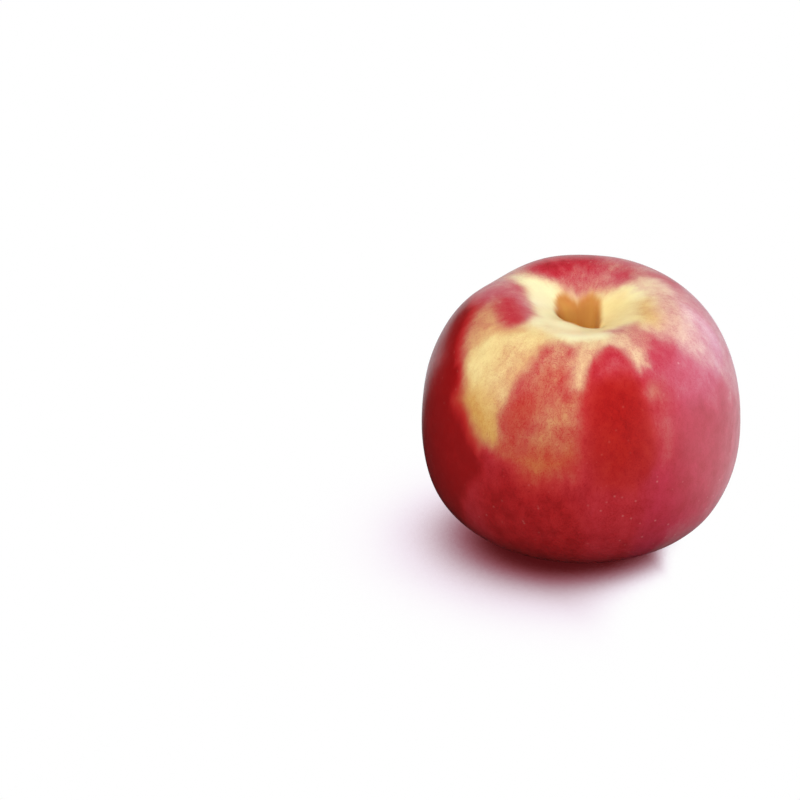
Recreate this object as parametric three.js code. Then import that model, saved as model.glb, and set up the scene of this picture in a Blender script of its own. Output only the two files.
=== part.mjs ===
// A whole, ripe nectarine: the smooth-skinned kind of peach, one solid from skin to core.
// Lengths are millimetres and +Z is up. The fruit grew a little bent, so that its stem hollow
// faces up and towards -Y, and it rests on a small flat spot at the middle of z = 0.
//
// The skin is first worked out for a straight fruit, whose Z is the stem axis and whose origin
// is the middle of its widest ring. Then it is bent, stood on its base and pressed flat there.
// "Polar" is the angle from the stem end, and "turn" is the angle round the stem axis: a turn
// of 0 degrees faces -Y and a turn of 90 degrees faces +X. All angles are in radians inside
// the functions and in degrees in the values below.

import * as THREE from 'three';
import { mergeVertices } from 'three/addons/utils/BufferGeometryUtils.js';

// The body: an egg shape with full shoulders, a rather square base and a slightly oval plan.
const HALF_WIDTH = 35.3;
const OVALNESS = 0.025;
const SHOULDER_HEIGHT = 38.2;
const BASE_HEIGHT = 29.2;
const SHOULDER_FULLNESS = 0.044;
const BASE_FULLNESS = 0.073;

// The wide dish at the stem end, and the hollow in its middle where the stalk was.
const DISH_DEPTH = 11.5;
const DISH_RADIUS = 12;
const HOLLOW_DEPTH = 8;
const HOLLOW_RADIUS = 2.6;
const HOLLOW_WALL = 0.1;

// The hollow's outline is drawn out in these directions, each by its share of the radius.
const HOLLOW_LOBES = [
  { turn: 36, reach: 1.05, width: 20 },
  { turn: 95, reach: 0.33, width: 50 },
  { turn: 150, reach: 0.85, width: 24 },
  { turn: -132, reach: 1.0, width: 28 },
];

// The suture: the shallow groove that runs from the hollow down one side.
const SUTURE_TURN = -132;
const SUTURE_WIDTH = 6.5;
const SUTURE_DEPTH_AT_RIM = 1.6;
const SUTURE_DEPTH_ON_SIDE = 1.4;
const SUTURE_RIM_SPREAD = 40;
const SUTURE_FADE_IN = 9;

// The bend of the fruit, and how far the base is pressed flat.
const BEND = 16;
const BEND_TURN = -9;
const PRESSED_DEPTH = 0.3;

// The mesh: columns round the stem axis and rows from the hollow to the base. The rows are
// crowded towards the hollow, where the skin turns most.
const COLUMNS = 72;
const ROWS = 48;
const ROW_CROWDING = 1.6;
const ROW_FOLLOW = 12;

const SKIN_COLOUR = 0xb8232f;
const SKIN_ROUGHNESS = 0.35;

const { degToRad, lerp, smoothstep } = THREE.MathUtils;

// 1 where the two turns are equal, falling to 0 as a bell of the given half width.
function bell(turn, centre, width) {
  const apart = Math.atan2(Math.sin(turn - centre), Math.cos(turn - centre));
  return Math.exp(-((apart / width) ** 2));
}

// Distance from the middle of the widest ring to the body, without its dish and groove: an
// ellipse whose height changes from base to shoulders, swelled halfway between ring and pole.
function bodyRadius(polar, turn) {
  const shoulders = smoothstep((1 + Math.cos(polar)) / 2, 0, 1);
  const height = lerp(BASE_HEIGHT, SHOULDER_HEIGHT, shoulders);
  const fullness = lerp(BASE_FULLNESS, SHOULDER_FULLNESS, shoulders);
  const width = HALF_WIDTH * (1 - OVALNESS * Math.cos(2 * turn));
  const ellipse = 1 / Math.hypot(Math.sin(polar) / width, Math.cos(polar) / height);
  return ellipse * (1 + fullness * Math.sin(2 * polar) ** 2);
}

// Depth of the suture at a point of the body: a bell across the groove, a little deeper near
// the rim of the dish, fading in with the distance from the stem axis.
function sutureDepth(polar, turn, radius) {
  const away = turn - degToRad(SUTURE_TURN);
  const along = radius * Math.sin(polar) * Math.cos(away);
  const across = radius * Math.sin(polar) * Math.sin(away);
  const rim = Math.exp(-((polar / degToRad(SUTURE_RIM_SPREAD)) ** 2));
  const depth = lerp(SUTURE_DEPTH_ON_SIDE, SUTURE_DEPTH_AT_RIM, rim);
  return depth * Math.exp(-((across / SUTURE_WIDTH) ** 2)) * smoothstep(along, 0, SUTURE_FADE_IN);
}

// How much further than its radius the hollow reaches at a turn.
function hollowReach(turn) {
  let reach = 0;
  for (const lobe of HOLLOW_LOBES) {
    reach += lobe.reach * bell(turn, degToRad(lobe.turn), degToRad(lobe.width));
  }
  return reach;
}

// How far the skin is sunk at the stem end: a bell-shaped dish, and a steep-walled hollow.
function sunkDepth(distance, turn) {
  const outline = HOLLOW_RADIUS * (1 + hollowReach(turn));
  const dish = DISH_DEPTH * Math.exp(-((distance / DISH_RADIUS) ** 2));
  return dish + HOLLOW_DEPTH / (1 + Math.exp((distance / outline - 1) / HOLLOW_WALL));
}

// A row's polar angle: rows are crowded towards the stem end, and there they follow the
// hollow's outline, so that its wall is even all round.
function rowPolar(row, turn) {
  const polar = Math.PI * row ** ROW_CROWDING;
  const follow = Math.exp(-((polar / degToRad(ROW_FOLLOW)) ** 2));
  return polar * (1 + hollowReach(turn) * follow);
}

// A point of the straight fruit's skin.
function skinPoint(polar, turn) {
  const body = bodyRadius(polar, turn);
  const radius = body - sutureDepth(polar, turn, body);
  const distance = radius * Math.sin(polar);
  const sunk = Math.cos(polar) > 0 ? sunkDepth(distance, turn) : 0;
  const height = radius * Math.cos(polar) - sunk;
  return new THREE.Vector3(distance * Math.sin(turn), -distance * Math.cos(turn), height);
}

// Turns a point over towards the side that the bend faces, by more the higher it is.
function bend(point) {
  const raised = smoothstep(point.z, -BASE_HEIGHT, SHOULDER_HEIGHT);
  const side = degToRad(BEND_TURN);
  const axis = new THREE.Vector3(Math.cos(side), Math.sin(side), 0);
  return point.applyAxisAngle(axis, degToRad(BEND) * raised);
}

// A ball with its poles on Z, each of whose points is moved out to the bent skin.
function makeSkin() {
  const ball = new THREE.SphereGeometry(1, COLUMNS, ROWS).rotateX(Math.PI / 2);
  ball.deleteAttribute('normal');
  ball.deleteAttribute('uv');
  const skin = mergeVertices(ball, 1e-4);
  const points = skin.attributes.position;
  for (let i = 0; i < points.count; i += 1) {
    const onBall = new THREE.Vector3().fromBufferAttribute(points, i).normalize();
    const row = Math.acos(onBall.z) / Math.PI;
    const turn = Math.atan2(onBall.x, -onBall.y);
    const onSkin = bend(skinPoint(rowPolar(row, turn), turn));
    points.setXYZ(i, onSkin.x, onSkin.y, onSkin.z);
  }
  return skin;
}

// Stands the skin on z = 0 with its box centred on the Z axis, and presses its base flat.
function standOnBase(skin) {
  skin.computeBoundingBox();
  const { min, max } = skin.boundingBox;
  skin.translate(-(min.x + max.x) / 2, -(min.y + max.y) / 2, -min.z - PRESSED_DEPTH);
  const points = skin.attributes.position;
  for (let i = 0; i < points.count; i += 1) {
    points.setZ(i, Math.max(points.getZ(i), 0));
  }
  return skin;
}

const material = new THREE.MeshStandardMaterial({
  color: SKIN_COLOUR,
  roughness: SKIN_ROUGHNESS,
  metalness: 0,
});

const peach = new THREE.Mesh(standOnBase(makeSkin()), material);
peach.name = 'peach';

const group = new THREE.Group();
group.add(peach);

export default group;
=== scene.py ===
"""A whole, ripe nectarine, the smooth-skinned kind of peach, on a glossy white table.

The fruit's skin is worked out in millimetres for a straight fruit, whose Z is the stem axis and
whose origin is the middle of its widest ring. Then it is bent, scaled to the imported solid's box
and stood on z = 0. "Polar" is the angle from the stem end and "turn" is the angle round the stem
axis: a turn of 0 degrees faces -Y and a turn of 90 degrees faces +X.

The markings are laid out on the flat skin: the skin spread out round the stem end, where x is
polar * sin(turn) and y is -polar * cos(turn), both in degrees. Its +Y side is the back of the
fruit, and its middle is the stem hollow.
"""

import math

import bpy
import numpy as np
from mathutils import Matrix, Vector


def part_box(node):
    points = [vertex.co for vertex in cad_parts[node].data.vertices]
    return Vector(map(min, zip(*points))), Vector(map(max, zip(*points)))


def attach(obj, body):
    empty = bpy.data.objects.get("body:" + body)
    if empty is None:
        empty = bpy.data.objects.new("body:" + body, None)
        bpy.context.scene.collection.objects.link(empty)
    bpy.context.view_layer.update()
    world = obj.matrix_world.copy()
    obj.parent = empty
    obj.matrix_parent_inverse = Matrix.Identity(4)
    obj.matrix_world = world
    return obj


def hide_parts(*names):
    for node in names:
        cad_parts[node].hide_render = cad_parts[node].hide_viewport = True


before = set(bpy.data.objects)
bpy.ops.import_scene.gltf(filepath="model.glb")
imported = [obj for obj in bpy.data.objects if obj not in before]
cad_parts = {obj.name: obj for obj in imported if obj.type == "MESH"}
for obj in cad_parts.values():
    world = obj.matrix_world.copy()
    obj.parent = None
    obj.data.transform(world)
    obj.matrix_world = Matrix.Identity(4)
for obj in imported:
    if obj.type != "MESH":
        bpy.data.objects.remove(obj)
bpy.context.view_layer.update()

# The body: an egg shape with full shoulders, a rather square base and a slightly oval plan.
HALF_WIDTH = 35.3
OVALNESS = 0.025
SHOULDER_HEIGHT = 38.2
BASE_HEIGHT = 29.2
SHOULDER_FULLNESS = 0.044
BASE_FULLNESS = 0.073

# The wide dish at the stem end, and the hollow in its middle where the stalk was.
DISH_DEPTH = 11.5
DISH_RADIUS = 12
HOLLOW_DEPTH = 8
HOLLOW_RADIUS = 2.6
HOLLOW_WALL = 0.1

# The hollow's outline is drawn out in these directions, or drawn in where the share is below
# zero: turn, share of the radius, width.
HOLLOW_LOBES = [(36, 1.05, 20), (95, 0.33, 50), (150, 0.85, 28), (187, 0.4, 22), (-132, 1.0, 28),
                (-40, -0.42, 42)]

# The hollow's lip is raised on one side: by how much, how far from the stem axis and how broadly,
# and at which turn and how far round.
LIP_HEIGHT = 1.5
LIP_DISTANCE = 4.5
LIP_SPREAD = 3.5
LIP_TURN = -38
LIP_REACH = 52

# The suture: the shallow groove that runs from the hollow down one side.
SUTURE_TURN = -132
SUTURE_WIDTH = 6.5
SUTURE_DEPTH_AT_RIM = 1.4
SUTURE_DEPTH_ON_SIDE = 0.5
SUTURE_RIM_SPREAD = 40
SUTURE_FADE_IN = 9

# The bend of the fruit, and how far the base is pressed flat.
BEND = 16
BEND_TURN = -9
PRESSED_DEPTH = 0.3

# Soft unevenness of the skin: height and size of its swellings.
UNEVENNESS = 0.12
SWELLING = 9

# How far into its cloud of random swellings the fruit lies, which settles where they fall.
SWELLING_ORIGIN = 500

# The mesh: columns round the stem axis and rows from the hollow to the base. The rows are
# crowded towards the hollow, where the skin turns most.
COLUMNS = 360
ROWS = 260
ROW_CROWDING = 1.6
ROW_FOLLOW = 12

# The markings' outlines wander by this many degrees, in swings of about this many degrees.
WANDER = 0.7
WANDER_SIZE = 7

# The markings' edges are feathered by two streaky clouds. They are read on a ring of this radius
# round the stem, and move on by 1 in so many degrees from stem to tip. Each makes a marking reach
# further or less far by a share of the polar angle. A coarse feather is 3 degrees of turn wide
# and 13 degrees long, and a fine one 1 degree wide and 5 degrees long.
FEATHER_RING = 40
FEATHER_STEP = 6
COARSE_FEATHER = 0.025
COARSE_FEATHER_SIZE = 2.2
FINE_FEATHER = 0.015
FINE_FEATHER_SIZE = 0.8

# The skin's growth pattern is laid out in millimetres round the fruit. A degree from stem to tip,
# which is 0.6 mm of skin, counts as 0.3 mm, so that the pattern is drawn out to twice its width.
GROWTH_PER_DEGREE = 0.3

# The camera looks along +Y and down, at a place to the left of the fruit, so that the fruit stands
# on the right of the picture. Its rise is in degrees and its lens in millimetres. These lengths,
# and all that follow but the growth pattern's, are in metres.
CAMERA_RISE = 21
CAMERA_DISTANCE = 0.52
CAMERA_LENS = 103
CAMERA_TARGET = (-0.0411, 0, 0.034)

# The lamps face a point at this height above the middle of the fruit's base.
LAMP_AIM = 0.03

TABLE_HALF_WIDTH = 2.0

# How strongly the white room lights the fruit. The camera sees the room at full white.
ROOM_LIGHT = 0.24


def smooth(share):
    """0 below 0 and 1 above 1, with the cubic 3s^2 - 2s^3 between."""
    share = np.clip(share, 0, 1)
    return share * share * (3 - 2 * share)


def blend(low, high, share):
    """low + (high - low) * share."""
    return low + (high - low) * share


def bell(turn, centre, width):
    """exp(-(a / width)^2), where a is the turn from the centre, at most half a circle."""
    apart = np.angle(np.exp(1j * (turn - centre)))
    return np.exp(-((apart / width) ** 2))


def body_radius(polar, turn):
    """Radius of the body without its dish and groove. It is an ellipse, whose height changes
    from base to shoulders, times 1 + fullness * sin(2 polar)^2."""
    shoulders = smooth((1 + np.cos(polar)) / 2)
    height = blend(BASE_HEIGHT, SHOULDER_HEIGHT, shoulders)
    fullness = blend(BASE_FULLNESS, SHOULDER_FULLNESS, shoulders)
    width = HALF_WIDTH * (1 - OVALNESS * np.cos(2 * turn))
    ellipse = 1 / np.hypot(np.sin(polar) / width, np.cos(polar) / height)
    return ellipse * (1 + fullness * np.sin(2 * polar) ** 2)


def suture_depth(polar, turn, radius):
    """Depth of the suture: a bell across the groove, a little deeper near the rim of the dish,
    fading in with the distance along it from the stem axis."""
    away = turn - math.radians(SUTURE_TURN)
    along = radius * np.sin(polar) * np.cos(away)
    across = radius * np.sin(polar) * np.sin(away)
    rim = np.exp(-((polar / math.radians(SUTURE_RIM_SPREAD)) ** 2))
    depth = blend(SUTURE_DEPTH_ON_SIDE, SUTURE_DEPTH_AT_RIM, rim)
    return depth * np.exp(-((across / SUTURE_WIDTH) ** 2)) * smooth(along / SUTURE_FADE_IN)


def hollow_reach(turn):
    """How much further than its radius the hollow reaches: the sum of its lobes' bells."""
    lobes = [reach * bell(turn, math.radians(centre), math.radians(width))
             for centre, reach, width in HOLLOW_LOBES]
    return sum(lobes)


def sunk_depth(distance, turn):
    """How far the skin is sunk at a distance from the stem axis: a bell-shaped dish, less the
    raised lip, which is a bell both round the axis and away from it, and a steep-walled hollow
    whose wall is 1 / (1 + exp((distance / outline - 1) / wall))."""
    outline = HOLLOW_RADIUS * (1 + hollow_reach(turn))
    dish = DISH_DEPTH * np.exp(-((distance / DISH_RADIUS) ** 2))
    lip = LIP_HEIGHT * bell(turn, math.radians(LIP_TURN), math.radians(LIP_REACH))
    lip = lip * np.exp(-(((distance - LIP_DISTANCE) / LIP_SPREAD) ** 2))
    return dish - lip + HOLLOW_DEPTH / (1 + np.exp((distance / outline - 1) / HOLLOW_WALL))


def skin_rows(rows, columns):
    """Polar and turn of each point of the mesh. Rows are crowded towards the stem end, and
    there they follow the hollow's outline, so that its wall is even all round."""
    row = np.linspace(0, 1, rows + 1)[:, None]
    turn = np.linspace(-np.pi, np.pi, columns, endpoint=False)[None, :]
    polar = np.pi * row**ROW_CROWDING
    follow = np.exp(-((polar / math.radians(ROW_FOLLOW)) ** 2))
    polar = polar * (1 + hollow_reach(turn) * follow)
    return polar, np.broadcast_to(turn, polar.shape)


def straight_skin(polar, turn):
    """Points of the straight fruit's skin."""
    body = body_radius(polar, turn)
    radius = body - suture_depth(polar, turn, body)
    distance = radius * np.sin(polar)
    sunk = np.where(np.cos(polar) > 0, sunk_depth(distance, turn), 0)
    height = radius * np.cos(polar) - sunk
    return np.stack([distance * np.sin(turn), -distance * np.cos(turn), height], -1)


def cloud(places, size, seed):
    """Smooth random numbers from -1 to 1: a cubic lattice of them, one every `size`, blended
    along each direction by the cubic of smooth(). The lattice repeats after `period` of them."""
    period = 16
    lattice = np.random.default_rng(seed).uniform(-1, 1, (period,) * 3)
    cell = np.floor(places / size)
    share = smooth(places / size - cell)
    total = 0
    for corner in np.ndindex(2, 2, 2):
        weight = np.prod(np.where(corner, share, 1 - share), axis=-1)
        x, y, z = np.moveaxis((cell.astype(int) + corner) % period, -1, 0)
        total = total + weight * lattice[x, y, z]
    return total


def bend(points):
    """Turns each point about a level axis, by more the higher it is (Rodrigues' formula)."""
    raised = smooth((points[..., 2] + BASE_HEIGHT) / (BASE_HEIGHT + SHOULDER_HEIGHT))
    side = math.radians(BEND_TURN)
    axis = np.array([math.cos(side), math.sin(side), 0])
    angle = math.radians(BEND) * raised[..., None]
    along = (points @ axis)[..., None] * axis
    turned = points * np.cos(angle) + np.cross(axis, points) * np.sin(angle)
    return turned + along * (1 - np.cos(angle))


def stand_on_base(points, low, high):
    """Scales the skin to the width of the solid's box, stands it on z = 0 in the middle of that
    box, and presses its base flat. In metres."""
    least, most = points.min((0, 1)), points.max((0, 1))
    scale = (high.x - low.x) / (most[0] - least[0])
    middle = (least + most) / 2
    middle[2] = least[2] + PRESSED_DEPTH
    centre = np.array([(low.x + high.x) / 2, (low.y + high.y) / 2, low.z])
    stood = (points - middle) * scale + centre
    stood[..., 2] = np.maximum(stood[..., 2], low.z)
    return stood


# --- The markings -----------------------------------------------------------------------------
# Each is painted over the ones before it: its name, its closed outline on the flat skin, how wide
# its soft edge is in degrees, and its amounts. Blush goes from 0, no red at all, to 1, darkest red.
# Gold goes from 0, cool cream and rose, to 1, orange and warm red. Mottle goes from 0, even, to 1,
# strongly blotched and veined.
WHOLE_SKIN = {"blush": 0.86, "gold": 0.45, "mottle": 0.35}
MARKINGS = [
    ("dark red of the back left",
     [(-30, 46), (-40, 26), (-60, 0), (-100, -30), (-170, -60), (-170, 60), (-110, 120), (-46, 100)],
     56, {"blush": 0.97, "gold": 0.75}),
    ("rose of the back",
     [(4, 40), (40, 30), (90, 30), (110, 100), (30, 150), (-4, 100)],
     44, {"blush": 0.76, "gold": 0.1, "mottle": 0.5}),
    ("salmon flecks low at the back",
     [(-14, 66), (2, 58), (12, 72), (8, 96), (-4, 104), (-18, 88)],
     22, {"blush": 0.6, "gold": 0.45, "mottle": 0.9}),
    ("rose of the right side",
     [(20, -36), (34, -24), (60, -22), (100, -10), (150, -30), (130, -130), (60, -140), (38, -110),
      (30, -86), (27, -62)],
     20, {"blush": 0.82, "gold": 0.0, "mottle": 0.25}),
    ("deeper rose low on the right",
     [(44, -88), (58, -60), (62, -30), (90, -20), (120, -90), (70, -130), (46, -112)],
     24, {"blush": 0.81}),
    # The skin here is rose like the rest of the right side. It is painted paler along the lower
    # right rim as a painted reflection of the bright table.
    ("pink far side of it, with painted reflection",
     [(74, -112), (67, -95), (84, -80), (98, -62), (120, -46), (136, -100), (96, -136)],
     24, {"blush": 0.57}),
    ("dark red low on the left",
     [(-64, -72), (-34, -72), (-20, -82), (-8, -96), (-4, -140), (-110, -120)],
     18, {"blush": 0.93, "gold": 0.7}),
    ("dark red of the left side",
     [(-37, 34), (-37, 12), (-36.5, 3), (-40, -4), (-44, -12), (-45, -18), (-47, -26), (-48, -36),
      (-49, -50), (-58, -66), (-130, -60), (-150, 10), (-90, 24), (-60, 40)],
     11, {"blush": 1.0, "gold": 0.8, "mottle": 0.1}),
    ("salmon of the back",
     [(-26, 34), (-18, 20), (-8, 14), (2, 11), (14, 11), (24, 14), (36, 22), (30, 40), (-10, 60)],
     9, {"blush": 0.57, "gold": 0.15, "mottle": 0.6}),
    ("red of the back",
     [(-20, 30), (-13, 20), (-4, 18), (5, 20), (10, 27), (6, 40), (-14, 44)],
     9, {"blush": 0.79, "gold": 0.3}),
    ("rose of the left shoulder",
     [(-40, 24), (-30, 28), (-22, 18), (-18, 8), (-16, 0), (-22, -6), (-30, -2), (-36, 6)],
     9, {"blush": 0.56, "gold": 0.0, "mottle": 0.4}),
    ("its redder middle",
     [(-37, 12), (-30, 12), (-25, 8), (-25, 3), (-32, 4), (-37, 4)],
     8, {"blush": 0.66}),
    ("salmon above the gold patch",
     [(-37, 1), (-33, 2), (-27, 2), (-25, -10), (-22, -16), (-36, -16), (-45, -14), (-42, -5)],
     10, {"blush": 0.38, "gold": 0.62, "mottle": 0.4}),
    ("pale pink of the right shoulder",
     [(10, 16), (24, 12), (34, 12), (44, 6), (56, -10), (60, -20), (44, -28), (20, -24), (10, -16)],
     12, {"blush": 0.46, "gold": 0.0, "mottle": 0.45}),
    ("its paler middle",
     [(21, 0), (31, -2), (37, -10), (41, -22), (35, -27), (23, -22)],
     12, {"blush": 0.34}),
    ("dusky rose below it",
     [(19, -22), (30, -22), (52, -27), (54, -36), (34, -44), (16, -38)],
     11, {"blush": 0.7, "gold": 0.0, "mottle": 0.35}),
    ("cream ring round the hollow",
     [(-16, 16), (-6, 14), (2, 10.5), (10, 9), (18, 9), (23, 4), (22, -14), (16, -21), (9, -27),
      (-4, -27), (-13, -23), (-20, -14), (-16, -4), (-17, 6)],
     9, {"blush": 0.0, "gold": 0.2, "mottle": 0.1}),
    ("yellow right side of the ring",
     [(4, 10), (16, 7), (20, -12), (14, -18), (6, -14)],
     9, {"blush": 0.05, "gold": 0.7}),
    ("cream valley of the suture",
     [(-6, 8), (-8, 15), (-14, 19), (-20, 24), (-25, 34), (-31, 38), (-29, 26), (-24, 19),
      (-18, 11), (-14, 3)],
     7, {"blush": 0.05, "gold": 0.12}),
    ("pink far end of the valley",
     [(-17, 20), (-22, 34), (-32, 38), (-29, 22)],
     9, {"blush": 0.44}),
    ("cream and gold patch on the left front",
     [(-40, -14), (-45, -19), (-47.5, -28), (-47.5, -42), (-45, -57), (-39, -56), (-34, -44),
      (-29, -37), (-21, -33), (-15, -27), (-9, -22), (-12, -12), (-22, -15), (-30, -13)],
     11, {"blush": 0.12, "gold": 0.68, "mottle": 0.3}),
    ("salmon cast on its right",
     [(-35, -34), (-27, -22), (-21, -21), (-18, -27), (-24, -35), (-33, -44), (-37, -42)],
     12, {"blush": 0.27, "gold": 0.6, "mottle": 0.5}),
    ("orange foot of the patch",
     [(-52, -31), (-46, -31), (-38, -38), (-37, -50), (-41, -60), (-50, -54)],
     16, {"blush": 0.26, "gold": 1.0}),
    ("red blotch",
     [(-27, 2), (-22, 3), (-19, -3), (-20, -9), (-24, -13), (-27, -9), (-28, -3)],
     8, {"blush": 0.75, "gold": 0.35}),
    ("salmon flames",
     [(-13, -26), (-10, -22), (-6, -26), (-3, -32), (-5, -40), (-14, -43), (-26, -42), (-17, -32)],
     9, {"blush": 0.41, "gold": 0.5, "mottle": 0.8}),
    ("red at the left front",
     [(-28, -43), (-22, -40), (-15, -34), (-8, -34), (-6, -38), (-12, -44), (-18, -50), (-29, -58),
      (-37, -66), (-40, -58), (-34, -47)],
     9, {"blush": 0.61, "gold": 0.65, "mottle": 0.6}),
    ("its deeper middle",
     [(-28, -44), (-21, -44), (-18, -49), (-28, -57), (-36, -60), (-34, -50)],
     10, {"blush": 0.69, "gold": 0.8}),
    ("orange mottled field",
     [(-3, -42), (-12, -44), (-17, -49), (-25, -54), (-30, -61), (-23, -68), (-12, -66), (-6, -58),
      (-2, -48)],
     16, {"blush": 0.43, "gold": 0.72, "mottle": 0.7}),
    ("orange red below it",
     [(-42, -62), (-30, -63), (-14, -66), (-7, -62), (-5, -70), (-10, -80), (-32, -80)],
     22, {"blush": 0.54, "gold": 1.0, "mottle": 0.5}),
    ("pale streak",
     [(-4, -23), (7, -23), (5, -29), (0, -36), (-2, -43), (-6, -43), (-5, -34), (-4, -28)],
     6, {"blush": 0.27, "gold": 0.4, "mottle": 0.5}),
    ("red of the front",
     [(1.5, -42), (5, -36), (10, -30), (15, -34), (19, -41), (22, -48), (28, -57), (31, -68),
      (24, -86), (2, -86), (-2, -70), (-2, -54)],
     10, {"blush": 0.84, "gold": 0.8, "mottle": 0.3}),
    ("its deep red middle",
     [(3, -48), (8, -42), (15, -42), (20, -50), (24, -60), (23, -71), (10, -78), (3, -70)],
     17, {"blush": 0.91, "gold": 1.0}),
    ("its rosy top",
     [(3, -38), (6, -31), (10, -27), (14, -31), (17, -37)],
     10, {"blush": 0.67, "gold": 0.2, "mottle": 0.4}),
    ("pale tongue right of it",
     [(7, -16), (18, -14), (22, -22), (21, -32), (17, -36), (13, -30), (9, -25)],
     7, {"blush": 0.46, "gold": 0.2, "mottle": 0.5}),
    ("cream feather down its left",
     [(8, -20), (13, -20), (16, -26), (20, -32), (18, -35), (13, -29), (9, -26)],
     5, {"blush": 0.27, "gold": 0.2}),
    ("tan side of the dish",
     [(18, -1), (23, 0), (26, -10), (24, -17), (19, -15), (17, -8)],
     9, {"blush": 0.26, "gold": 0.75, "mottle": 0.3}),
    # Partly the skin's own cream near the dish, and partly a painted highlight: it is painted pale
    # pink where the backdrop reflects on the shoulder's top.
    ("cream top of the right shoulder and painted highlight",
     [(19, 13), (28, 12), (31, 3), (24, 0), (19, 6)],
     8, {"blush": 0.26, "gold": 0.0, "mottle": 0.3}),
    ("rose above the shoulder",
     [(42, 26), (36, 14), (37, 4), (40, -5), (45, -13), (51, -21), (64, -26), (80, -8), (56, 24)],
     9, {"blush": 0.57, "gold": 0.0, "mottle": 0.4}),
    ("red spot at the back right",
     [(12, 16), (17, 16), (18, 12), (13, 11)],
     6, {"blush": 0.66}),
    ("orange spot",
     [(21, -38), (27, -38), (29, -43), (25, -47), (20, -44)],
     7, {"blush": 0.52, "gold": 0.45}),
    ("faint trail of the spot",
     [(23, -44), (30, -44), (36, -54), (41, -67), (36, -70), (28, -58)],
     15, {"blush": 0.67, "gold": 0.45, "mottle": 0.4}),
    # The hollow's orange is partly its own tan and partly painted shade of the hollow.
    ("orange lining and painted shade of the hollow",
     [(-8, 10), (-6, 12), (-4, 12), (-1, 10), (2, 11), (5, 11), (7, 8), (6, 1), (6, -4), (0, -7),
      (-6, -3), (-8, 5)],
     3, {"blush": 0.4, "gold": 1.0, "mottle": 0.0}),
    # Painted light: the depth of the hollow is painted paler, against the shade that falls there.
    ("depth of the hollow painted paler against its shade",
     [(-6, 9), (-1, 8), (4, 9), (6, 6), (4, -4), (-5, -4)],
     4, {"blush": 0.3}),
]


def outline_distance(x, y, outline):
    """Distance to a closed outline of straight sides, below zero inside it. A point is inside
    where a ray towards +X crosses the outline an odd number of times."""
    nearest = np.full(x.shape, np.inf)
    inside = np.zeros(x.shape, bool)
    for (ax, ay), (bx, by) in zip(outline, outline[1:] + outline[:1]):
        side_x, side_y = bx - ax, by - ay
        share = ((x - ax) * side_x + (y - ay) * side_y) / (side_x**2 + side_y**2)
        share = np.clip(share, 0, 1)
        nearest = np.minimum(nearest, np.hypot(x - ax - share * side_x, y - ay - share * side_y))
        if ay != by:
            crossing = ax + (y - ay) * side_x / side_y
            inside ^= ((ay > y) != (by > y)) & (x < crossing)
    return np.where(inside, -nearest, nearest)


def paint(polar, turn):
    """The amounts of blush, gold and mottle at each point of the skin. Each marking covers a point
    by smooth(1/2 - distance to its outline / edge). The point is first moved by soft clouds, so
    that outlines wander, and towards or away from the stem by streaky ones, which feather them."""
    degrees = np.degrees(polar)
    x, y = degrees * np.sin(turn), -degrees * np.cos(turn)
    place = np.stack([x, y, 0 * x], -1)
    drift_x, drift_y = cloud(place, WANDER_SIZE, 1), cloud(place, WANDER_SIZE, 2)
    streaky = [FEATHER_RING * np.sin(turn), FEATHER_RING * np.cos(turn), degrees / FEATHER_STEP]
    streaky = np.stack(streaky, -1)
    feather = 1 + COARSE_FEATHER * cloud(streaky, COARSE_FEATHER_SIZE, 3)
    feather = feather + FINE_FEATHER * cloud(streaky, FINE_FEATHER_SIZE, 5)
    x, y = (x + WANDER * drift_x) * feather, (y + WANDER * drift_y) * feather
    amounts = {kind: np.full(x.shape, amount) for kind, amount in WHOLE_SKIN.items()}
    for _, outline, edge, painted in MARKINGS:
        cover = smooth(0.5 - outline_distance(x, y, outline) / edge)
        for kind, amount in painted.items():
            amounts[kind] = blend(amounts[kind], amount, cover)
    return amounts


# --- Materials --------------------------------------------------------------------------------


def linear(colour):
    """An sRGB hex colour as linear red, green, blue and 1."""
    parts = [int(colour[i:i + 2], 16) / 255 for i in (1, 3, 5)]
    return [p / 12.92 if p <= 0.04045 else ((p + 0.055) / 1.055) ** 2.4 for p in parts] + [1]


def add(tree, kind, inputs, **settings):
    """Adds a node. Settings are its properties, and inputs are values or sockets to link."""
    made = tree.nodes.new(kind)
    for name, value in settings.items():
        setattr(made, name, value)
    for name, value in inputs.items():
        if isinstance(value, bpy.types.NodeSocket):
            tree.links.new(value, made.inputs[name])
        else:
            made.inputs[name].default_value = value
    return made


def set_stops(ramp, stops):
    """Gives a colour ramp its stops, a list of place and hex colour. It has two to begin with."""
    elements = ramp.color_ramp.elements
    while len(elements) < len(stops):
        elements.new(0.5)
    for element, (place, colour) in zip(elements, stops):
        element.position = place
        element.color = linear(colour)


# Skin from no blush to full blush, where its ground colour is cool and where it is golden.
COOL_SKIN = [(0.0, "#F9F2C2"), (0.15, "#F0DEB2"), (0.3, "#E2B89C"), (0.45, "#D08C82"),
             (0.6, "#C45C64"), (0.75, "#C23046"), (0.9, "#AC1C2A"), (1.0, "#940A14")]
GOLDEN_SKIN = [(0.0, "#F8DE8C"), (0.15, "#E6C272"), (0.3, "#D49A4C"), (0.45, "#C8743E"),
               (0.6, "#C24E2C"), (0.75, "#BE2E1C"), (0.9, "#B21410"), (1.0, "#980404")]
LENTICEL_COLOUR = "#F4CDBE"

# Patterns in space, by how many of their cells fit in a metre: blotches 4.3 mm wide, lenticels
# 2.4 mm apart, areas 22 mm wide with and without lenticels, and pores. Real pores are too fine to
# show, so they are drawn 1.1 mm apart.
BLOTCHES = 230
LENTICELS = 420
LENTICEL_AREAS = 45
PORES = 900

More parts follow.
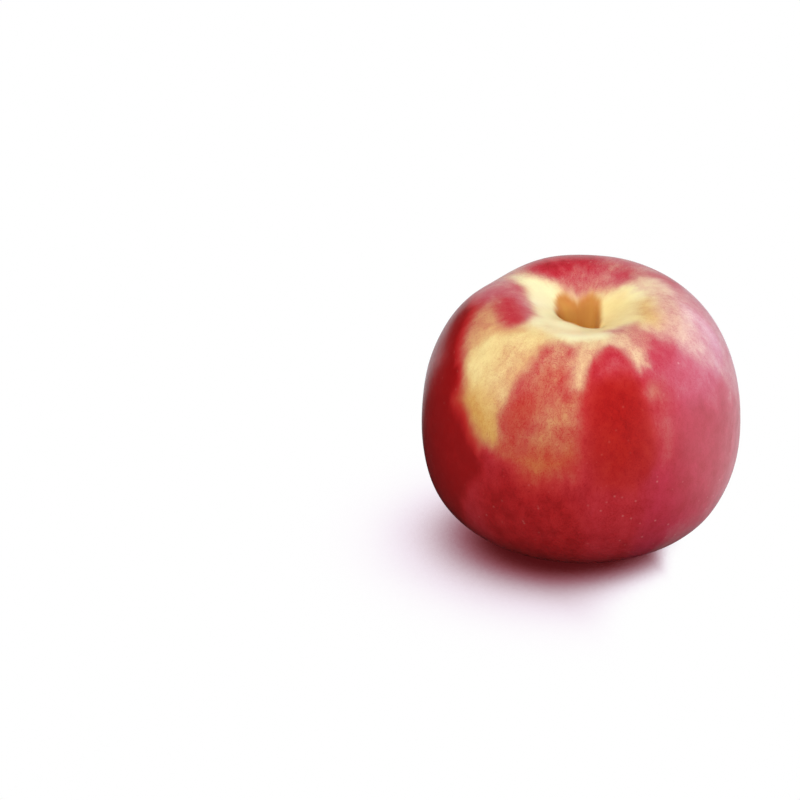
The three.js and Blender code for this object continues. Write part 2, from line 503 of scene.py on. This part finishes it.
# Patterns along the skin's growth, by how many cells fit in a millimetre round the fruit: streaks
# 2.5 mm wide and 5 mm long, and veins 0.8 mm apart.
STREAKS = 0.4
VEINS = 1.3

# How much streaks and blotches change the blush: this much everywhere, and this much more where
# the skin is mottled.
LEAST_MOTTLING = 0.05
MOTTLING = 0.5

# How much more blush a vein has, and how much less there is between two veins. The last is how
# far the noise is from its middle value at a vein's edge.
VEIN_BLUSH = 0.26
VEIN_GAP = -0.04
VEIN_EDGE = 0.04

# A lenticel fades out between these shares of its cell, which makes it half a millimetre wide. It
# covers this much of the skin's colour, and less by this share where the skin is golden.
LENTICEL_CORE = 0.04
LENTICEL_EDGE = 0.15
LENTICEL_COVER = 0.2
LENTICEL_LOSS = 0.75

# An area has no lenticels below the first value of its noise, and all of them above the second.
AREA_EMPTY = 0.42
AREA_FULL = 0.56


def mottled_blush(tree, amounts, blotches, grown):
    """The painted blush, less even: streaks and blotches make it stronger and weaker, and thin
    veins of it lie where a distorted noise crosses its middle value, 0.5."""
    streaks = add(tree, "ShaderNodeTexNoise", {"Vector": grown, "Scale": STREAKS, "Detail": 4,
                                               "Roughness": 0.6}).outputs["Fac"]
    both = add(tree, "ShaderNodeMath", {0: streaks, 1: blotches}, operation="ADD").outputs[0]
    centred = add(tree, "ShaderNodeMath", {0: both, 1: 1.0}, operation="SUBTRACT").outputs[0]
    strength = add(tree, "ShaderNodeMath", {0: amounts["mottle"], 1: MOTTLING, 2: LEAST_MOTTLING},
                   operation="MULTIPLY_ADD").outputs[0]
    blush = add(tree, "ShaderNodeMath", {0: centred, 1: strength, 2: amounts["blush"]},
                operation="MULTIPLY_ADD").outputs[0]
    threads = add(tree, "ShaderNodeTexNoise", {"Vector": grown, "Scale": VEINS, "Detail": 3,
                                               "Roughness": 0.6, "Distortion": 1.2}).outputs["Fac"]
    above = add(tree, "ShaderNodeMath", {0: threads, 1: 0.5}, operation="SUBTRACT").outputs[0]
    away = add(tree, "ShaderNodeMath", {0: above}, operation="ABSOLUTE").outputs[0]
    vein = add(tree, "ShaderNodeMapRange", {"Value": away, "From Min": 0.0, "From Max": VEIN_EDGE,
                                            "To Min": VEIN_BLUSH, "To Max": VEIN_GAP})
    return add(tree, "ShaderNodeMath", {0: vein.outputs["Result"], 1: amounts["mottle"], 2: blush},
               operation="MULTIPLY_ADD").outputs[0]


def lenticel_cover(tree, place, gold):
    """How much lenticels cover the skin: soft dots, one in each cell of a Voronoi pattern. A broad
    noise picks the areas where they show, and golden skin shows them less."""
    area = add(tree, "ShaderNodeTexNoise", {"Vector": place, "Scale": LENTICEL_AREAS, "Detail": 1})
    shown = add(tree, "ShaderNodeMapRange", {"Value": area.outputs["Fac"], "From Min": AREA_EMPTY,
                                             "From Max": AREA_FULL, "To Min": 0.0,
                                             "To Max": LENTICEL_COVER}).outputs["Result"]
    left = add(tree, "ShaderNodeMath", {0: gold, 1: -LENTICEL_LOSS, 2: 1.0},
               operation="MULTIPLY_ADD").outputs[0]
    shown = add(tree, "ShaderNodeMath", {0: shown, 1: left}, operation="MULTIPLY").outputs[0]
    cell = add(tree, "ShaderNodeTexVoronoi", {"Vector": place, "Scale": LENTICELS})
    dot = add(tree, "ShaderNodeMapRange", {"Value": cell.outputs["Distance"],
                                           "From Min": LENTICEL_CORE, "From Max": LENTICEL_EDGE,
                                           "To Min": 1.0, "To Max": 0.0}).outputs["Result"]
    return add(tree, "ShaderNodeMath", {0: dot, 1: shown}, operation="MULTIPLY").outputs[0]


def waxy_nectarine_skin():
    """A nectarine's own skin, with no fuzz. Red blush grew over a cream and gold ground, in soft
    patches, streaks and veins, with pale lenticels. The skin lets a little light into the flesh,
    which softens its shading, and a film of natural wax over it gives broad, soft highlights."""
    material = bpy.data.materials.new("waxy_nectarine_skin")
    material.use_nodes = True
    tree = material.node_tree
    tree.nodes.clear()
    amounts = {kind: add(tree, "ShaderNodeAttribute", {}, attribute_name=kind).outputs["Fac"]
               for kind in WHOLE_SKIN}
    grown = add(tree, "ShaderNodeAttribute", {}, attribute_name="growth").outputs["Vector"]
    place = add(tree, "ShaderNodeTexCoord", {}).outputs["Object"]
    blotches = add(tree, "ShaderNodeTexNoise", {"Vector": place, "Scale": BLOTCHES, "Detail": 4,
                                                "Roughness": 0.58}).outputs["Fac"]
    blush = mottled_blush(tree, amounts, blotches, grown)
    cool = add(tree, "ShaderNodeValToRGB", {"Fac": blush})
    set_stops(cool, COOL_SKIN)
    golden = add(tree, "ShaderNodeValToRGB", {"Fac": blush})
    set_stops(golden, GOLDEN_SKIN)
    colour = add(tree, "ShaderNodeMix", {0: amounts["gold"], 6: cool.outputs["Color"],
                                         7: golden.outputs["Color"]}, data_type="RGBA").outputs[2]
    lenticel = lenticel_cover(tree, place, amounts["gold"])
    colour = add(tree, "ShaderNodeMix", {0: lenticel, 6: colour, 7: linear(LENTICEL_COLOUR)},
                 data_type="RGBA").outputs[2]
    roughness = add(tree, "ShaderNodeMapRange", {"Value": blotches, "From Min": 0.3, "From Max": 0.7,
                                                 "To Min": 0.38, "To Max": 0.52}).outputs["Result"]
    pores = add(tree, "ShaderNodeTexNoise", {"Vector": place, "Scale": PORES, "Detail": 2})
    height = add(tree, "ShaderNodeMath", {0: lenticel, 1: pores.outputs["Fac"]},
                 operation="ADD").outputs[0]
    pored = add(tree, "ShaderNodeBump", {"Height": height, "Strength": 0.25,
                                         "Distance": 0.0001}).outputs["Normal"]
    skin = add(tree, "ShaderNodeBsdfPrincipled", {"Base Color": colour, "Roughness": roughness,
                                                  "IOR": 1.45, "Subsurface Weight": 0.08,
                                                  "Subsurface Radius": (1.0, 0.3, 0.2),
                                                  "Subsurface Scale": 0.002,
                                                  "Coat Weight": 0.6, "Coat Roughness": 0.22,
                                                  "Normal": pored})
    add(tree, "ShaderNodeOutputMaterial", {"Surface": skin.outputs["BSDF"]})
    return material


# The table from the darkest of the fruit's painted shadow to full light. The shadow is painted red
# near the fruit, for the red light that the fruit reflects onto it.
TABLE_SHADES = [(0.1, "#4E1114"), (0.17, "#6F292D"), (0.3, "#97606B"), (0.44, "#BEA2AC"),
                (0.55, "#E2D1DA"), (0.63, "#F4E8F3"), (0.74, "#FFFDFF"), (0.8, "#FFFFFF")]

# The fruit darkens the table up to this far away. The table's lightness is raised by the first
# amount before the gain, so that the gain also tells right under the fruit, and lowered after it.
SHADOW_REACH = 0.06
RAISED_BY = 0.06
LOWERED_BY = 0.13

# The gain grows to OPEN_GAIN across the shadow, from this far on one side of the fruit's middle to
# as far on the other. "Across" runs along +X, and a little along +Y too.
SHADOW_SLANT = 0.35
OPENING = 0.019
OPEN_GAIN = 1.85

# The shadow ends between these places across it, where the gain grows by this much more.
EDGE_START = 0.0105
EDGE_END = 0.0195
EDGE_GAIN = 1.3

# What the fruit gets from the table, as reflection in its wax and as light on its skin, painted
# lighter where the window's light falls on the table: the least and the most, and how far along
# X + Y from the fruit's middle the most begins.
LEAST_MIRRORED = 0.02
MOST_MIRRORED = 0.78
MIRRORED_FROM = 0.06
LEAST_BOUNCED = 0.35
MOST_BOUNCED = 1.0
BOUNCED_FROM = 0.04


def table_light(tree, sides):
    """How light the table's painted shadow is, from 0 to 1 and over: the share of open sky at a
    point, times a gain. The gain grows from the shadow's left to its right, and so paints in the
    window's light that reaches in under the fruit, and grows fast where the shadow ends there."""
    sky = add(tree, "ShaderNodeAmbientOcclusion", {"Distance": SHADOW_REACH}, samples=20)
    across = add(tree, "ShaderNodeMath", {0: sides["Y"], 1: SHADOW_SLANT, 2: sides["X"]},
                 operation="MULTIPLY_ADD").outputs[0]
    opening = add(tree, "ShaderNodeMapRange", {"Value": across, "From Min": -OPENING,
                                               "From Max": OPENING, "To Min": 1.0,
                                               "To Max": OPEN_GAIN},
                  interpolation_type="SMOOTHSTEP").outputs["Result"]
    beyond = add(tree, "ShaderNodeMapRange", {"Value": across, "From Min": EDGE_START,
                                              "From Max": EDGE_END, "To Min": 0.0,
                                              "To Max": EDGE_GAIN},
                 interpolation_type="SMOOTHSTEP").outputs["Result"]
    gain = add(tree, "ShaderNodeMath", {0: opening, 1: beyond}, operation="ADD").outputs[0]
    raised = add(tree, "ShaderNodeMath", {0: sky.outputs["AO"], 1: RAISED_BY},
                 operation="ADD").outputs[0]
    return add(tree, "ShaderNodeMath", {0: raised, 1: gain, 2: -LOWERED_BY},
               operation="MULTIPLY_ADD").outputs[0]


def glossy_white_acrylic():
    """A cast acrylic sheet, polished and strongly lit: to the eye it is one even white, too bright
    for its gloss to show, but for the soft shadow round the fruit, which is painted. What the eye
    sees shines by itself, in TABLE_SHADES. To the fruit it is a plain sheet that the lamps light,
    and its colour is painted lighter on the right and at the back, where the window's light falls,
    and dark at the front left, which keeps the fruit's front clear."""
    material = bpy.data.materials.new("glossy_white_acrylic")
    material.use_nodes = True
    tree = material.node_tree
    tree.nodes.clear()
    path = add(tree, "ShaderNodeLightPath", {})
    place = add(tree, "ShaderNodeTexCoord", {}).outputs["Object"]
    sides = add(tree, "ShaderNodeSeparateXYZ", {"Vector": place}).outputs
    lit = add(tree, "ShaderNodeMath", {0: sides["X"], 1: sides["Y"]}, operation="ADD").outputs[0]
    mirrored = add(tree, "ShaderNodeMapRange", {"Value": lit, "From Min": 0.0,
                                                "From Max": MIRRORED_FROM,
                                                "To Min": LEAST_MIRRORED,
                                                "To Max": MOST_MIRRORED}).outputs["Result"]
    bounced = add(tree, "ShaderNodeMapRange", {"Value": lit, "From Min": 0.0,
                                               "From Max": BOUNCED_FROM,
                                               "To Min": LEAST_BOUNCED,
                                               "To Max": MOST_BOUNCED}).outputs["Result"]
    colour = add(tree, "ShaderNodeMix", {0: path.outputs["Is Glossy Ray"], 6: bounced,
                                         7: mirrored}, data_type="RGBA").outputs[2]
    plain = add(tree, "ShaderNodeBsdfDiffuse", {"Color": colour})
    glow = add(tree, "ShaderNodeValToRGB", {"Fac": table_light(tree, sides)})
    set_stops(glow, TABLE_SHADES)
    seen = add(tree, "ShaderNodeEmission", {"Color": glow.outputs["Color"], "Strength": 1.0})
    surface = add(tree, "ShaderNodeMixShader", {0: path.outputs["Is Camera Ray"],
                                                1: plain.outputs[0], 2: seen.outputs[0]})
    add(tree, "ShaderNodeOutputMaterial", {"Surface": surface.outputs[0]})
    return material


# --- The fruit --------------------------------------------------------------------------------


def closed_mesh(name, points, values):
    """A mesh from a grid of points whose first and last rows are single points, the poles, and
    whose columns close round. Values are numbers or vectors for each grid point, by name."""
    rows, columns = points.shape[:2]

    def as_list(grid):
        parts = grid.reshape(rows, columns, -1)
        ring = parts[1:-1].reshape(-1, parts.shape[-1])
        return np.vstack([ring, parts[0].mean(0), parts[-1].mean(0)])

    places = as_list(points)
    row = np.arange(rows - 3)[:, None] * columns
    column = np.arange(columns)[None, :]
    beside = (column + 1) % columns
    corners = [row + column, row + columns + column, row + columns + beside, row + beside]
    quads = np.stack(corners, -1).reshape(-1, 4)
    stem, tip = len(places) - 2, len(places) - 1
    last = (rows - 3) * columns
    column, beside = column[0], beside[0]
    stem_fan = np.stack([np.full(columns, stem), column, beside], -1)
    tip_fan = np.stack([np.full(columns, tip), last + beside, last + column], -1)
    mesh = bpy.data.meshes.new(name)
    mesh.from_pydata(places.tolist(), [], quads.tolist() + stem_fan.tolist() + tip_fan.tolist())
    mesh.polygons.foreach_set("use_smooth", [True] * len(mesh.polygons))
    for kind, grid in values.items():
        parts = as_list(grid)
        vector = parts.shape[1] == 3
        made = mesh.attributes.new(kind, "FLOAT_VECTOR" if vector else "FLOAT", "POINT")
        made.data.foreach_set("vector" if vector else "value", parts.ravel())
    mesh.update()
    return mesh


def make_fruit():
    """The whole fruit in one closed skin: the straight fruit's skin, moved out and in by a cloud,
    then bent and stood on its base. It carries the painted amounts, and the coordinates of its
    growth pattern: a ring round the stem axis of radius HALF_WIDTH * sqrt(sin(polar)), and the
    polar angle times GROWTH_PER_DEGREE."""
    polar, turn = skin_rows(ROWS, COLUMNS)
    straight = straight_skin(polar, turn)
    outward = straight / np.linalg.norm(straight, axis=-1, keepdims=True)
    swollen = UNEVENNESS * cloud(straight + SWELLING_ORIGIN, SWELLING, 4)
    straight = straight + outward * swollen[..., None]
    low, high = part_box("peach")
    points = stand_on_base(bend(straight), low, high)
    values = paint(polar, turn)
    ring = HALF_WIDTH * np.sqrt(np.sin(polar))
    values["growth"] = np.stack([ring * np.sin(turn), ring * np.cos(turn),
                                 np.degrees(polar) * GROWTH_PER_DEGREE], -1)
    mesh = closed_mesh("nectarine", points, values)
    mesh.materials.append(waxy_nectarine_skin())
    fruit = bpy.data.objects.new("nectarine", mesh)
    bpy.context.scene.collection.objects.link(fruit)
    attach(fruit, "root")
    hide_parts("peach")


# --- Table, lights and camera -----------------------------------------------------------------


def make_table():
    """A flat square sheet at z = 0, far larger than the view."""
    half = TABLE_HALF_WIDTH
    corners = [(-half, -half, 0), (half, -half, 0), (half, half, 0), (-half, half, 0)]
    mesh = bpy.data.meshes.new("table")
    mesh.from_pydata(corners, [], [(0, 1, 2, 3)])
    mesh.materials.append(glossy_white_acrylic())
    table = bpy.data.objects.new("table", mesh)
    bpy.context.scene.collection.objects.link(table)


def make_softbox(name, place, width, height, power, colour="#FFFFFF", shines=True):
    """A rectangular softbox that faces the fruit. One that doesn't shine lights the fruit and
    leaves no highlight on it: it is hidden from glossy rays, and with its multiple importance
    sampling off no ray that the skin scatters can hit it."""
    lamp = bpy.data.lights.new(name, "AREA")
    lamp.shape = "RECTANGLE"
    lamp.size, lamp.size_y = width, height
    lamp.energy = power
    lamp.color = linear(colour)[:3]
    lamp.cycles.use_multiple_importance_sampling = shines
    box = bpy.data.objects.new(name, lamp)
    box.location = place
    facing = Vector((0, 0, LAMP_AIM)) - Vector(place)
    box.rotation_euler = facing.to_track_quat("-Z", "Y").to_euler()
    box.visible_camera = False
    box.visible_glossy = shines
    bpy.context.scene.collection.objects.link(box)


def make_world():
    """A white room. The camera sees it at a strength of 1, which is white. To the fruit it is an
    even, weaker light that doesn't mirror in the skin."""
    world = bpy.data.worlds.new("studio")
    bpy.context.scene.world = world
    world.cycles_visibility.glossy = False
    world.use_nodes = True
    tree = world.node_tree
    tree.nodes.clear()
    path = add(tree, "ShaderNodeLightPath", {})
    strength = add(tree, "ShaderNodeMath", {0: path.outputs["Is Camera Ray"], 1: 1 - ROOM_LIGHT,
                                            2: ROOM_LIGHT}, operation="MULTIPLY_ADD").outputs[0]
    room = add(tree, "ShaderNodeBackground", {"Color": (1, 1, 1, 1), "Strength": strength})
    add(tree, "ShaderNodeOutputWorld", {"Surface": room.outputs[0]})


def make_camera():
    """A long lens, raised by CAMERA_RISE degrees, that looks at CAMERA_TARGET."""
    data = bpy.data.cameras.new("camera")
    data.lens = CAMERA_LENS
    camera = bpy.data.objects.new("camera", data)
    rise = math.radians(CAMERA_RISE)
    away = Vector((0, -math.cos(rise), math.sin(rise)))
    camera.location = Vector(CAMERA_TARGET) + away * CAMERA_DISTANCE
    camera.rotation_euler = (-away).to_track_quat("-Z", "Y").to_euler()
    bpy.context.scene.collection.objects.link(camera)
    bpy.context.scene.camera = camera


make_camera()
make_world()
# Name, place, width, height and power. The window is a little blue, and it and the backdrop give
# the skin its highlights. The others only fill the front, the right side and the stem hollow.
make_softbox("window", (0.95, 0.25, 0.28), 1.5, 0.9, 8.8, "#D4E0FF")
make_softbox("front", (-0.25, -0.85, 0.62), 0.8, 0.8, 9.7, shines=False)
make_softbox("side", (0.8, -0.4, 0.08), 0.4, 0.4, 2.1, shines=False)
make_softbox("top", (-0.3, -0.05, 0.95), 0.8, 0.8, 3, shines=False)
make_softbox("backdrop", (0.35, 1.5, 0.4), 2.2, 1.4, 6)
make_table()
make_fruit()

bpy.context.scene.view_settings.view_transform = "Standard"
